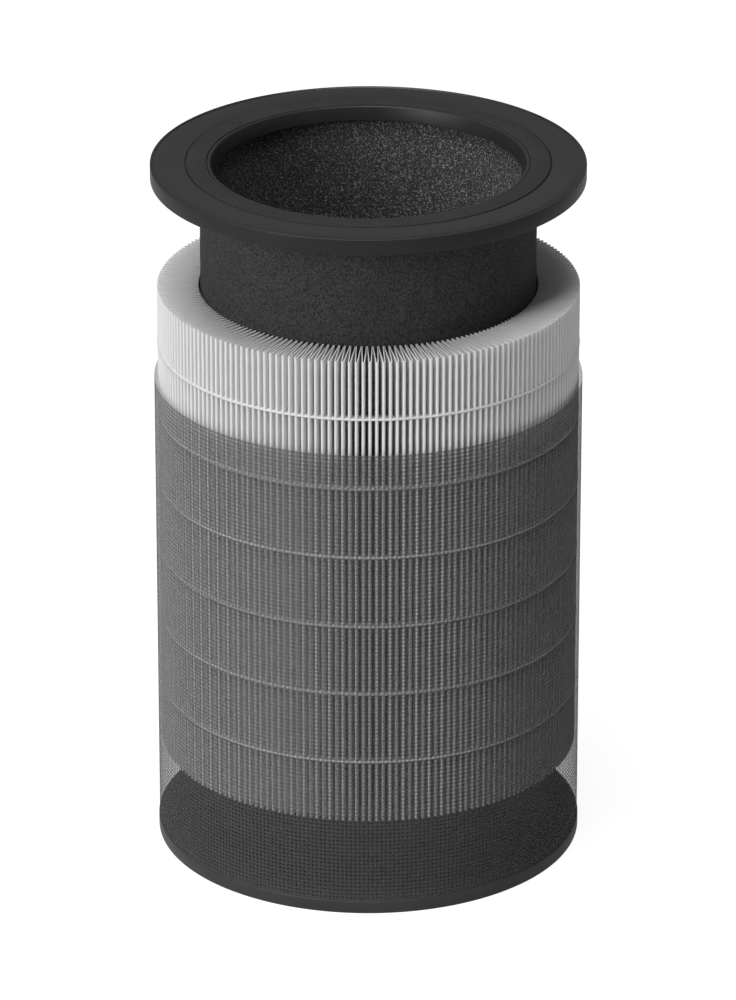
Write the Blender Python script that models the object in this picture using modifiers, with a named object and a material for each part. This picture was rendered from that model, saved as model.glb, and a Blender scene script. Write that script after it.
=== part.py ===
"""Air purifier filter: a round cartridge drawn apart along its axis.

From the bottom up: a closed end cap, a net sleeve that stands on the cap's step, a pleated paper pack that
the net grips, a carbon sleeve that the pack's inner folds grip, and an end ring seated on the carbon sleeve.

Units are metres, +Z is up, and the origin is the middle of the cap's underside. The lapped seam of the net is
at the back, on +Y. Radii of turned pieces are those of their corners, and a hole that clears another round
piece with other facets is drawn around it.
"""

import math

import bmesh
import bpy

# Fits
CLEARANCE = 0.0003

# Facets of the turned pieces, of the thin glue beads, and points on each rounded edge
ROUND_STEPS = 48
BEAD_STEPS = 32
EDGE_POINTS = 3

# Corners nearer than this are one, and edges that turn by more degrees than this are sharp
WELD = 0.000002
SHARP_EDGE = 35

# Pleated pack, measured over its folds
PLEAT_COUNT = 197
PACK_RADIUS = 0.1000
PACK_LENGTH = 0.2345
PLEAT_DEPTH = 0.0198
PAPER_THICKNESS = 0.00045
OUTER_FOLD_WIDTH = 0.0019

# Glue beads on both faces of the pack
BEAD_COUNT = 6
BEAD_PITCH = 0.0350
BEAD_HEIGHT = 0.0011
BEAD_THICKNESS = 0.0003

# Net sleeve
NET_LENGTH = 0.2295
NET_THICKNESS = 0.0004
NET_RIB_COUNT = 60
NET_RIB_WIDTH = 0.0046
NET_RIB_RELIEF = 0.00015
NET_HOOP_COUNT = 3
NET_HOOP_WIDTH = 0.0024
NET_SEAM_WIDTH = 0.0080

# Carbon sleeve
CARBON_THICKNESS = 0.0032
CARBON_LENGTH = 0.2345
CARBON_EDGE = 0.0006

# How far the pieces are drawn apart
PACK_LIFT = 0.0407
CARBON_RISE = 0.0585

# Bottom cap
CAP_THICKNESS = 0.0070
CAP_STEP = 0.0007
CAP_OVERHANG = 0.0002
CAP_EDGE = 0.0005
CAP_FOOT_WIDTH = 0.0120
CAP_RECESS_DEPTH = 0.0012
CAP_BOSS_RADIUS = 0.0645
CAP_DISC_RADIUS = 0.0505
CAP_RISE = 0.0006

# End ring
RING_OVERHANG = 0.0006
RING_RIM_HEIGHT = 0.0076
RING_PLATE_THICKNESS = 0.0024
RING_EDGE = 0.0005
RING_GROOVE_DEPTH = 0.0006
RING_GROOVE_INSET = 0.0013
RING_SHOULDER_WIDTH = 0.0022
RING_TROUGH_GAP = 0.0004
LIP_THICKNESS = 0.0011
LIP_DROP = 0.0043
OUTLET_TAPER = 0.0018
OUTLET_ROUND = 0.0010

# Seal let into the top of the end ring
SEAL_WIDTH = 0.0097
SEAL_THICKNESS = 0.0010
SEAL_PROUD = 0.0003
SEAL_LAND = 0.0004

# Radii, from the pack outwards
outer_bead_radius = (PACK_RADIUS + CLEARANCE) / math.cos(math.pi / BEAD_STEPS)
outer_bead_crown = outer_bead_radius + BEAD_THICKNESS
net_radius = outer_bead_crown + CLEARANCE
net_outer_radius = net_radius + NET_RIB_RELIEF + NET_THICKNESS
cap_radius = net_outer_radius + CAP_OVERHANG
ring_radius = net_outer_radius + RING_OVERHANG
trough_radius = PACK_RADIUS + RING_TROUGH_GAP

# Radii, from the pack inwards
fold_radius = PACK_RADIUS - PLEAT_DEPTH
inner_bead_radius = fold_radius - CLEARANCE
inner_bead_crown = inner_bead_radius - BEAD_THICKNESS
carbon_radius = inner_bead_crown * math.cos(math.pi / BEAD_STEPS) - CLEARANCE
carbon_bore = carbon_radius - CARBON_THICKNESS
lip_radius = carbon_bore - CLEARANCE
mouth_radius = lip_radius - LIP_THICKNESS
seal_bore = mouth_radius + OUTLET_ROUND + SEAL_LAND + CLEARANCE
seal_radius = seal_bore + SEAL_WIDTH

# Heights
step_top = CAP_THICKNESS - CAP_STEP
net_bottom = step_top + CLEARANCE
pack_bottom = CAP_THICKNESS + PACK_LIFT
pack_top = pack_bottom + PACK_LENGTH
carbon_top = pack_top + CARBON_RISE
plate_bottom = carbon_top + CLEARANCE
plate_top = plate_bottom + RING_PLATE_THICKNESS
seal_bottom = plate_top + SEAL_PROUD - SEAL_THICKNESS

# Finishes: colour, roughness and metallic value
FINISHES = {
    "black_plastic": ((0.040, 0.040, 0.041), 0.45, 0.0),
    "black_seal": ((0.045, 0.045, 0.046), 0.80, 0.0),
    "carbon_felt": ((0.018, 0.018, 0.018), 0.95, 0.0),
    "white_paper": ((0.800, 0.800, 0.790), 0.90, 0.0),
    "hot_melt_glue": ((0.760, 0.755, 0.730), 0.45, 0.0),
    "dark_net": ((0.090, 0.090, 0.092), 0.60, 0.0),
}


def clear_scene():
    """Removes what the scene holds at the start."""
    for thing in list(bpy.data.objects):
        bpy.data.objects.remove(thing, do_unlink=True)


def make_finish(name):
    """A Principled material from the table of finishes."""
    colour, roughness, metallic = FINISHES[name]
    material = bpy.data.materials.new(name)
    material.use_nodes = True
    shader = material.node_tree.nodes["Principled BSDF"]
    shader.inputs["Base Color"].default_value = (*colour, 1.0)
    shader.inputs["Roughness"].default_value = roughness
    shader.inputs["Metallic"].default_value = metallic
    material.diffuse_color = (*colour, 1.0)
    return material


def add_piece(name, data, finish, height):
    """Places a piece on the cartridge's axis at a height and gives it its finish."""
    piece = bpy.data.objects.new(name, data)
    pieces.objects.link(piece)
    piece.location.z = height
    piece.parent = axis
    data.materials.append(finishes[finish])
    return piece


def evaluated_mesh(piece):
    """The piece's mesh with its modifiers, or its curve's mesh."""
    graph = bpy.context.evaluated_depsgraph_get()
    return bpy.data.meshes.new_from_object(piece.evaluated_get(graph))


def shade_round(mesh):
    """Smooth faces, with a sharp edge wherever the surface turns by more than the limit."""
    mesh.shade_smooth()
    mesh.set_sharp_from_angle(angle=math.radians(SHARP_EDGE))


def rounded(centre, radius, start, end):
    """Points round an edge in the section plane, from one angle to another in degrees."""
    points = []
    for index in range(EDGE_POINTS):
        angle = math.radians(start + (end - start) * index / (EDGE_POINTS - 1))
        points.append((centre[0] + radius * math.cos(angle), centre[1] + radius * math.sin(angle)))
    return points


def turned(name, section, closed, steps, finish, height):
    """A piece of revolution. Its section runs down the outer side, from top to bottom."""
    mesh = bpy.data.meshes.new(name)
    outline = bmesh.new()
    corners = [outline.verts.new((radius, 0.0, level)) for radius, level in section]
    for first, second in zip(corners, corners[1:]):
        outline.edges.new((first, second))
    if closed:
        outline.edges.new((corners[-1], corners[0]))
    outline.to_mesh(mesh)
    outline.free()
    piece = add_piece(name, mesh, finish, height)
    screw = piece.modifiers.new("turn", "SCREW")
    screw.axis = "Z"
    screw.angle = 2 * math.pi
    screw.steps = steps
    screw.render_steps = steps
    screw.use_merge_vertices = True
    screw.merge_threshold = WELD
    piece.data = evaluated_mesh(piece)
    piece.modifiers.clear()
    shade_round(piece.data)
    return piece


def polar(radius, angle):
    """A point of a flat outline from its radius and angle."""
    return (radius * math.cos(angle), radius * math.sin(angle))


def fold_corners(radius, angle, width):
    """The two corners of a blunt fold that is centred on an angle."""
    half = math.asin(0.5 * width / radius)
    return [polar(radius, angle - half), polar(radius, angle + half)]


def paper_outlines():
    """The outer and the inner face of the folded paper, seen along the axis.

    The outer folds are blunt. The inner folds are pressed tight, so that their two plies touch.
    """
    outer_face = []
    inner_face = []
    for pleat in range(PLEAT_COUNT):
        tip = 2 * math.pi * pleat / PLEAT_COUNT - math.pi / 2
        fold = tip + math.pi / PLEAT_COUNT
        outer_face += fold_corners(PACK_RADIUS, tip, OUTER_FOLD_WIDTH)
        outer_face.append(polar(fold_radius + PAPER_THICKNESS, fold))
        inside_width = OUTER_FOLD_WIDTH - 2 * PAPER_THICKNESS
        inner_face += fold_corners(PACK_RADIUS - PAPER_THICKNESS, tip, inside_width)
        inner_face += fold_corners(fold_radius, fold, 2 * PAPER_THICKNESS)
    return outer_face, inner_face


def make_pleated_media():
    """The paper pack: both faces of the folded paper as one flat outline, as tall as the paper is wide."""
    outline = bpy.data.curves.new("pleated_media", "CURVE")
    outline.dimensions = "2D"
    outline.fill_mode = "BOTH"
    outline.extrude = 0.5 * PACK_LENGTH
    for face in paper_outlines():
        spline = outline.splines.new("POLY")
        spline.points.add(len(face) - 1)
        for point, (x, y) in zip(spline.points, face):
            point.co = (x, y, 0.0, 1.0)
        spline.use_cyclic_u = True
    guide = bpy.data.objects.new("paper_outline", outline)
    pieces.objects.link(guide)
    mesh = evaluated_mesh(guide)
    bpy.data.objects.remove(guide)
    solid = bmesh.new()
    solid.from_mesh(mesh)
    bmesh.ops.remove_doubles(solid, verts=solid.verts, dist=WELD)
    bmesh.ops.recalc_face_normals(solid, faces=solid.faces)
    solid.to_mesh(mesh)
    solid.free()
    mesh.name = "pleated_media"
    return add_piece("pleated_media", mesh, "white_paper", pack_bottom + 0.5 * PACK_LENGTH)


def make_beads():
    """The glue beads on both faces of the pack, flat towards the folds and crowned on the other side."""
    half = 0.5 * BEAD_HEIGHT
    outer = [(outer_bead_radius, half), (outer_bead_crown, 0.0), (outer_bead_radius, -half)]
    inner = [(inner_bead_radius, half), (inner_bead_radius, -half), (inner_bead_crown, 0.0)]
    middle = pack_bottom + 0.5 * PACK_LENGTH
    for index in range(BEAD_COUNT):
        height = middle + BEAD_PITCH * (index - 0.5 * (BEAD_COUNT - 1))
        turned(f"outer_bead_{index + 1}", outer, True, BEAD_STEPS, "hot_melt_glue", height)
        turned(f"inner_bead_{index + 1}", inner, True, BEAD_STEPS, "hot_melt_glue", height)


def net_angles():
    """The two edges of each rib in order round the net, from the seam to the seam."""
    pitch = 2 * math.pi / NET_RIB_COUNT
    angles = []
    for rib in range(NET_RIB_COUNT):
        width = NET_RIB_WIDTH if rib else NET_SEAM_WIDTH
        half = 0.5 * width / net_radius
        angles += [math.pi / 2 + rib * pitch - half, math.pi / 2 + rib * pitch + half]
    angles.append(angles[0] + 2 * math.pi)
    return angles


def net_levels():
    """The lower and upper edge of each hoop, from the bottom of the net to its top."""
    pitch = (NET_LENGTH - NET_HOOP_WIDTH) / (NET_HOOP_COUNT - 1)
    levels = []
    for hoop in range(NET_HOOP_COUNT):
        levels += [hoop * pitch, hoop * pitch + NET_HOOP_WIDTH]
    return levels


def make_net():
    """The net as one wall of ribs and hoops. Every other rib stands proud, as woven threads do."""
    angles = net_angles()
    levels = net_levels()
    columns = len(angles) - 1
    rows = len(levels) - 1
    mesh = bpy.data.meshes.new("prefilter_mesh")
    wall = bmesh.new()
    bmesh.ops.create_grid(wall, x_segments=columns, y_segments=rows, size=0.5)
    gaps = []
    for face in wall.faces:
        centre = face.calc_center_median()
        column = math.floor((centre.x + 0.5) * columns)
        row = math.floor((centre.y + 0.5) * rows)
        if column % 2 and row % 2:
            gaps.append(face)
    bmesh.ops.delete(wall, geom=gaps, context="FACES")
    for corner in wall.verts:
        column = round((corner.co.x + 0.5) * columns)
        row = round((corner.co.y + 0.5) * rows)
        rib = (column // 2) % NET_RIB_COUNT
        radius = net_radius + (NET_RIB_RELIEF if rib % 2 else 0.0)
        corner.co = (*polar(radius, angles[column]), levels[row])
    bmesh.ops.remove_doubles(wall, verts=wall.verts, dist=WELD)
    wall.to_mesh(mesh)
    wall.free()
    piece = add_piece("prefilter_mesh", mesh, "dark_net", net_bottom)
    solid = piece.modifiers.new("thread_thickness", "SOLIDIFY")
    solid.thickness = NET_THICKNESS
    solid.offset = 1.0
    return piece


def make_carbon_sleeve():
    """The felted carbon tube, with its cut edges broken."""
    edge = CARBON_EDGE
    section = [
        (carbon_radius - edge, CARBON_LENGTH),
        (carbon_radius, CARBON_LENGTH - edge),
        (carbon_radius, edge),
        (carbon_radius - edge, 0.0),
        (carbon_bore, 0.0),
        (carbon_bore, CARBON_LENGTH),
    ]
    return turned("carbon_sleeve", section, True, ROUND_STEPS, "carbon_felt", carbon_top - CARBON_LENGTH)


def make_bottom_cap():
    """The closed cap: a platform inside the net, with two low steps in its middle, and a hollowed underside.

    The net stands on the step outside the platform.
    """
    half_gap = math.pi / NET_RIB_COUNT
    platform = net_radius * math.cos(half_gap) - CLEARANCE
    recess = cap_radius - CAP_FOOT_WIDTH
    section = [
        (0.0, CAP_THICKNESS + 2 * CAP_RISE),
        (CAP_DISC_RADIUS - CAP_RISE, CAP_THICKNESS + 2 * CAP_RISE),
        (CAP_DISC_RADIUS, CAP_THICKNESS + CAP_RISE),
        (CAP_BOSS_RADIUS - CAP_RISE, CAP_THICKNESS + CAP_RISE),
        (CAP_BOSS_RADIUS, CAP_THICKNESS),
        (platform - 0.5 * CAP_STEP, CAP_THICKNESS),
        (platform, CAP_THICKNESS - 0.5 * CAP_STEP),
        (platform, step_top),
        (cap_radius - CAP_EDGE, step_top),
        (cap_radius, step_top - CAP_EDGE),
        (cap_radius, CAP_EDGE),
        (cap_radius - CAP_EDGE, 0.0),
        (recess, 0.0),
        (recess - CAP_RECESS_DEPTH, CAP_RECESS_DEPTH),
        (0.0, CAP_RECESS_DEPTH),
    ]
    return turned("bottom_cap", section, False, ROUND_STEPS, "black_plastic", 0.0)


def make_top_ring():
    """The end ring: rim, trough and inner lip underneath, edge groove, seal seat and tapered outlet on top.

    Its section is drawn from the underside of its plate, which lies on the carbon sleeve.
    """
    top = RING_PLATE_THICKNESS
    rim_bottom = top - RING_RIM_HEIGHT
    seat = top + SEAL_PROUD - SEAL_THICKNESS - CLEARANCE
    groove = ring_radius - RING_GROOVE_INSET
    section = [
        *rounded((ring_radius - RING_EDGE, top - RING_EDGE), RING_EDGE, 90, 0),
        (ring_radius, rim_bottom + RING_EDGE),
        (ring_radius - RING_EDGE, rim_bottom),
        (trough_radius, rim_bottom),
        (trough_radius, 0.0),
        (lip_radius, 0.0),
        (lip_radius - OUTLET_TAPER, -LIP_DROP),
        (mouth_radius - OUTLET_TAPER, -LIP_DROP),
        *rounded((mouth_radius + OUTLET_ROUND, top - OUTLET_ROUND), OUTLET_ROUND, 180, 90),
        (seal_bore - CLEARANCE, top),
        (seal_bore - CLEARANCE, seat),
        (seal_radius + CLEARANCE, seat),
        (seal_radius + CLEARANCE, top),
        (groove - RING_SHOULDER_WIDTH, top),
        (groove, top - RING_GROOVE_DEPTH),
    ]
    return turned("top_ring", section, True, ROUND_STEPS, "black_plastic", plate_bottom)


def make_seal():
    """The flat soft ring round the outlet."""
    section = [
        (seal_radius, SEAL_THICKNESS),
        (seal_radius, 0.0),
        (seal_bore, 0.0),
        (seal_bore, SEAL_THICKNESS),
    ]
    return turned("seal_gasket", section, True, ROUND_STEPS, "black_seal", seal_bottom)


clear_scene()
finishes = {name: make_finish(name) for name in FINISHES}
pieces = bpy.data.collections.new("air_purifier_filter")
bpy.context.scene.collection.children.link(pieces)
axis = bpy.data.objects.new("cartridge_axis", None)
pieces.objects.link(axis)
make_bottom_cap()
make_net()
make_pleated_media()
make_beads()
make_carbon_sleeve()
make_top_ring()
make_seal()
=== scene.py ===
"""Dresses a round air purifier filter, drawn apart along its axis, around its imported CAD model.

From the top down it is an end ring with a soft seal let into it, a sleeve of carbon felt, a pack of folded
white paper with threads of hot-melt glue round it, a see-through net and a closed bottom cap. Sizes are in
metres, in the frame of the CAD model, and every piece rides on its one body.
"""

import logging
import math
from collections.abc import Iterable, Sequence
from dataclasses import dataclass, field
from enum import Enum

import bmesh
import bpy
from bpy.types import Material, Mesh, Node, NodeSocket, NodeTree, Object, World
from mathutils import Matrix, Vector, noise


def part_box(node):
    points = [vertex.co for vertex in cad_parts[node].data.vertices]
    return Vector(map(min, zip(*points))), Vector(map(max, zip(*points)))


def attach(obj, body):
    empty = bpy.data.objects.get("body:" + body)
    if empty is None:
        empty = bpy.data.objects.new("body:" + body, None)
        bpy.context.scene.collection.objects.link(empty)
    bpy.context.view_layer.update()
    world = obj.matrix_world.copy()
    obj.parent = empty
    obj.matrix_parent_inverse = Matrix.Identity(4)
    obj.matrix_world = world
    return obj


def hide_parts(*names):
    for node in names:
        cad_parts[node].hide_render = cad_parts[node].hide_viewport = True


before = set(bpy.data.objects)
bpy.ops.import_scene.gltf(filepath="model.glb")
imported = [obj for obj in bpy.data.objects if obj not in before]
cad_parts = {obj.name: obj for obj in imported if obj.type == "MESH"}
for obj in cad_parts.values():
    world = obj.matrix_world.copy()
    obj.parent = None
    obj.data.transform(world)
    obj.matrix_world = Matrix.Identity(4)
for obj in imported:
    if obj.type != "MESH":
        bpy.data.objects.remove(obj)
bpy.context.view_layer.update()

LOG = logging.getLogger("air_purifier_filter")
BODY = "root"

# Edges that turn by more are sharp: on turned pieces, on folds and glue, and on the net's threads
SHARP_ANGLE = math.radians(35.0)
FOLD_ANGLE = math.radians(60.0)
THREAD_ANGLE = math.radians(80.0)

# Facets of a turned piece, the most of a side that a fillet takes, and how near the axis counts as on it
TURNING_STEPS = 256
FILLET_SHARE = 0.49
ON_AXIS = 1e-7

# How far the middle of a square corner's fillet lies from each side, as a share of the fillet
CORNER_SHARE = 0.29

# Axes and angles of the directions that fibres lie in
FIBRE_TURNS = (((0.2, 0.4, 1.0), 0.5), ((1.0, 0.3, 0.1), 1.2), ((0.1, 1.0, 0.5), 2.1))

# The shortest loose fibre as a share of the longest, and the seed that draws their lengths
SHORTEST_FIBRE = 0.35
LENGTH_SEED = 7

Color = tuple[float, float, float]
Point = tuple[float, float]
Place = tuple[float, float, float]
InputValue = float | int | Color | NodeSocket | Material


# Node trees


def grey(level: float) -> tuple[float, float, float, float]:
    """Returns a plain grey that covers fully."""
    return (level, level, level, 1.0)


def emptied(owner: Material | World) -> NodeTree:
    """Gives a material or a world its own tree, with no node in it, and returns the tree."""
    owner.use_nodes = True
    owner.node_tree.nodes.clear()
    return owner.node_tree


class NodeBuilder:
    """Places nodes in one tree and links them by the names of their sockets."""

    def __init__(self, tree: NodeTree) -> None:
        """Keeps the tree that the nodes go into."""
        self.tree = tree

    def add(self, kind: str, inputs: dict[str | int, InputValue] | None = None, **settings: object) -> Node:
        """Places one node.

        Args:
            kind: The node's type.
            inputs: A plain value or another node's output for each input, by its name or its index.
            settings: Values of the node's own properties.

        Returns:
            The new node.
        """
        node = self.tree.nodes.new(kind)
        for name, value in settings.items():
            setattr(node, name, value)
        for key, value in (inputs or {}).items():
            if isinstance(value, NodeSocket):
                self.tree.links.new(value, node.inputs[key])
            else:
                node.inputs[key].default_value = value
        return node

    def math(self, operation: str, *values: InputValue) -> NodeSocket:
        """Returns the output of one Math node."""
        return self.add("ShaderNodeMath", dict(enumerate(values)), operation=operation).outputs["Value"]

    def vector(self, operation: str, *values: InputValue) -> NodeSocket:
        """Returns the vector output of one Vector Math node."""
        node = self.add("ShaderNodeVectorMath", dict(enumerate(values)), operation=operation)
        return node.outputs["Vector"]

    def combined(self, **parts: InputValue) -> NodeSocket:
        """Returns a vector with these parts, X, Y or Z, and 0 for the rest."""
        return self.add("ShaderNodeCombineXYZ", parts).outputs["Vector"]

    def weighed(self, first: NodeSocket, share: float, second: NodeSocket) -> NodeSocket:
        """Returns a share of the first value plus the rest of the second."""
        rest = self.math("MULTIPLY", second, 1.0 - share)
        return self.math("ADD", self.math("MULTIPLY", first, share), rest)

    def spread(
        self, value: NodeSocket, low: float, high: float, start: float = 0.0, end: float = 1.0
    ) -> NodeSocket:
        """Stretches one range of a value over another and clamps it there.

        Args:
            value: The value to stretch.
            low: Where the first range starts.
            high: Where the first range ends.
            start: What the result is at low.
            end: What the result is at high.

        Returns:
            The stretched value.
        """
        inputs = {"Value": value, "From Min": low, "From Max": high, "To Min": start, "To Max": end}
        return self.add("ShaderNodeMapRange", inputs, clamp=True).outputs["Result"]

    def noise(
        self, position: NodeSocket, scale: float | NodeSocket, detail: float = 2.0, roughness: float = 0.5
    ) -> NodeSocket:
        """Returns the value of one Noise Texture node, which stays near 0.5."""
        inputs = {"Vector": position, "Scale": scale, "Detail": detail, "Roughness": roughness}
        return self.add("ShaderNodeTexNoise", inputs).outputs["Fac"]

    def cells(self, position: NodeSocket, scale: InputValue) -> NodeSocket:
        """Returns how far each place is from the middle of its cell in one Voronoi Texture node."""
        inputs = {"Vector": position, "Scale": scale, "Randomness": 1.0}
        return self.add("ShaderNodeTexVoronoi", inputs).outputs["Distance"]

    def mixed(self, factor: InputValue, first: InputValue, second: InputValue) -> NodeSocket:
        """Returns a mix of two colours.

        Args:
            factor: 0 for the first colour and 1 for the second.
            first: The first colour, a plain one or another node's output.
            second: The second colour.

        Returns:
            The mixed colour.
        """
        colors = [(*c, 1.0) if isinstance(c, tuple) else c for c in (first, second)]
        inputs = {0: factor, 6: colors[0], 7: colors[1]}
        return self.add("ShaderNodeMix", inputs, data_type="RGBA").outputs[2]


class Effect(Enum):
    """A surface effect that more than one finish uses, by the name of its shader group."""

    GRAIN = "fine_grain"
    PATCHES = "slow_patches"
    FIBRES = "lying_fibres"


class EffectGroup(NodeBuilder):
    """A shader group with a position, named numbers going in and named values coming out."""

    def __init__(self, name: str, inputs: dict[str, float], outputs: Sequence[str]) -> None:
        """Makes the group's sockets.

        Args:
            name: The group's name.
            inputs: Each number that goes in, with its usual value.
            outputs: The names of the values that come out.
        """
        super().__init__(bpy.data.node_groups.new(name, "ShaderNodeTree"))
        sockets = self.tree.interface
        sockets.new_socket("Vector", in_out="INPUT", socket_type="NodeSocketVector")
        for label, usual in inputs.items():
            sockets.new_socket(label, in_out="INPUT", socket_type="NodeSocketFloat").default_value = usual
        for label in outputs:
            sockets.new_socket(label, in_out="OUTPUT", socket_type="NodeSocketFloat")
        self.source = self.add("NodeGroupInput").outputs
        self.position = self.source["Vector"]

    def close(self, **results: NodeSocket) -> NodeTree:
        """Links the results to the group's outputs and returns its tree."""
        self.add("NodeGroupOutput", results)
        return self.tree


class Effects:
    """The shader groups that the finishes share."""

    soft_share = 0.65
    patch_edge = (0.33, 0.67)
    fibre_edge = 0.06

    def __init__(self) -> None:
        """Builds each group once."""
        self._trees = {
            Effect.GRAIN: self._grain(),
            Effect.PATCHES: self._patches(),
            Effect.FIBRES: self._fibres(),
        }

    def place(self, effect: Effect, work: "MaterialBuilder", **values: InputValue) -> NodeSocket:
        """Places an effect in a material.

        Args:
            effect: Which effect.
            work: The builder of the material.
            values: A value for each of the group's named inputs.

        Returns:
            The effect's first output.
        """
        inputs = {"Vector": work.position, **values}
        return work.add("ShaderNodeGroup", inputs, node_tree=self._trees[effect]).outputs[0]

    def _grain(self) -> NodeTree:
        """Fine irregular grains of one size, as raised height."""
        group = EffectGroup(Effect.GRAIN.value, {"Size": 0.0005}, ["Height"])
        scale = group.math("DIVIDE", 1.0, group.source["Size"])
        soft = group.noise(group.position, scale)
        bumps = group.math("SUBTRACT", 1.0, group.cells(group.position, scale))
        height = group.weighed(soft, self.soft_share, bumps)
        return group.close(Height=height)

    def _patches(self) -> NodeTree:
        """A slow change over the surface, from 0 to 1."""
        group = EffectGroup(Effect.PATCHES.value, {"Size": 0.03}, ["Value"])
        scale = group.math("DIVIDE", 1.0, group.source["Size"])
        value = group.noise(group.position, scale, detail=3.0, roughness=0.55)
        return group.close(Value=group.spread(value, *self.patch_edge))

    def _fibres(self) -> NodeTree:
        """Fine fibres that lie in three directions, as raised height."""
        group = EffectGroup(Effect.FIBRES.value, {"Thickness": 0.0002, "Length": 0.003}, ["Height"])
        across = group.math("DIVIDE", 1.0, group.source["Thickness"])
        along = group.math("DIVIDE", 1.0, group.source["Length"])
        stretch = group.combined(X=across, Y=across, Z=along)
        height: InputValue = 0.0
        for axis, angle in FIBRE_TURNS:
            turn = {"Vector": group.position, "Axis": axis, "Angle": angle}
            aligned = group.add("ShaderNodeVectorRotate", turn).outputs["Vector"]
            value = group.noise(group.vector("MULTIPLY", aligned, stretch), 1.0, detail=1.0)
            away = group.math("ABSOLUTE", group.math("SUBTRACT", value, 0.5))
            height = group.math("MAXIMUM", height, group.spread(away, self.fibre_edge, 0.0))
        return group.close(Height=height)


class MaterialBuilder(NodeBuilder):
    """Starts a material with its surface shader and the position that its patterns follow."""

    def __init__(self, name: str, roughness: float, specular: float) -> None:
        """Makes the material.

        Args:
            name: The material's name.
            roughness: The surface's usual roughness.
            specular: How strongly it mirrors, 0.5 being the usual level.
        """
        self.material = bpy.data.materials.new(name)
        super().__init__(emptied(self.material))
        constant = {"Roughness": roughness, "Specular IOR Level": specular}
        self.surface = self.add("ShaderNodeBsdfPrincipled", constant)
        self.add("ShaderNodeOutputMaterial", {"Surface": self.surface.outputs["BSDF"]})
        self.position = self.add("ShaderNodeTexCoord").outputs["Object"]

    def feed(self, label: str, value: NodeSocket) -> None:
        """Links a value to one of the surface shader's inputs."""
        self.tree.links.new(value, self.surface.inputs[label])

    def raise_surface(self, height: NodeSocket, distance: float) -> None:
        """Makes the surface look raised by a height.

        Args:
            height: The height's pattern, from 0 to 1.
            distance: How far 1 stands above 0, in metres.
        """
        bump = self.add("ShaderNodeBump", {"Height": height, "Distance": distance, "Strength": 1.0})
        self.feed("Normal", bump.outputs["Normal"])


# Finishes


@dataclass(frozen=True)
class Finish:
    """What most finishes share: two tones, a roughness that changes slowly, and a fine relief."""

    name: str
    dark: Color
    light: Color
    roughness: tuple[float, float]
    specular: float
    relief: float
    patch_size: float

    def start(self, effects: Effects) -> tuple[MaterialBuilder, NodeSocket]:
        """Starts the material and lets its roughness follow slow patches.

        Args:
            effects: The shader groups that the finishes share.

        Returns:
            The material's builder, and the patches as a value from 0 to 1.
        """
        work = MaterialBuilder(self.name, self.roughness[0], self.specular)
        patches = effects.place(Effect.PATCHES, work, Size=self.patch_size)
        work.feed("Roughness", work.spread(patches, 0.0, 1.0, *self.roughness))
        return work, patches

    def close(self, work: MaterialBuilder, tone: NodeSocket, height: NodeSocket) -> Material:
        """Gives the material its colour and its relief.

        Args:
            work: The material's builder.
            tone: 0 for the dark tone and 1 for the light one.
            height: The relief's pattern, from 0 to 1.

        Returns:
            The finished material.
        """
        work.feed("Base Color", work.mixed(tone, self.dark, self.light))
        work.raise_surface(height, self.relief)
        return work.material


@dataclass(frozen=True)
class MouldedPlastic(Finish):
    """Black moulded plastic with a fine matt texture."""

    name: str = "black_moulded_plastic"
    dark: Color = (0.013, 0.013, 0.0135)
    light: Color = (0.020, 0.020, 0.0205)
    roughness: tuple[float, float] = (0.34, 0.44)
    specular: float = 0.21
    relief: float = 0.00003
    patch_size: float = 0.045
    patch_share: float = 0.6
    grain_size: float = 0.0004

    def material(self, effects: Effects) -> Material:
        """Returns the finish as a material."""
        work, patches = self.start(effects)
        grain = effects.place(Effect.GRAIN, work, Size=self.grain_size)
        return self.close(work, work.weighed(patches, self.patch_share, grain), grain)


@dataclass(frozen=True)
class FoamSeal(Finish):
    """Soft black closed-cell foam with fine open pores on its skin."""

    name: str = "black_foam_seal"
    dark: Color = (0.018, 0.018, 0.018)
    light: Color = (0.030, 0.030, 0.0305)
    roughness: tuple[float, float] = (0.66, 0.82)
    specular: float = 0.04
    relief: float = 0.00008
    patch_size: float = 0.02
    pore_size: float = 0.0007
    pore_edge: tuple[float, float] = (0.08, 0.40)
    grain_edge: tuple[float, float] = (0.2, 0.8)
    lowest_skin: float = 0.7
    darkest_patch: float = 0.6

    def material(self, effects: Effects) -> Material:
        """Returns the finish as a material."""
        work, patches = self.start(effects)
        grain = effects.place(Effect.GRAIN, work, Size=0.5 * self.pore_size)
        pores = work.spread(work.cells(work.position, 1.0 / self.pore_size), *self.pore_edge)
        height = work.math("MULTIPLY", pores, work.spread(grain, *self.grain_edge, self.lowest_skin, 1.0))
        # The pores sit low in the relief and are also painted darker: painted shade in the pores, besides
        # the slow patches of the foam's own tone.
        tone = work.math("MULTIPLY", pores, work.spread(patches, 0.0, 1.0, self.darkest_patch, 1.0))
        return self.close(work, tone, height)


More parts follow.
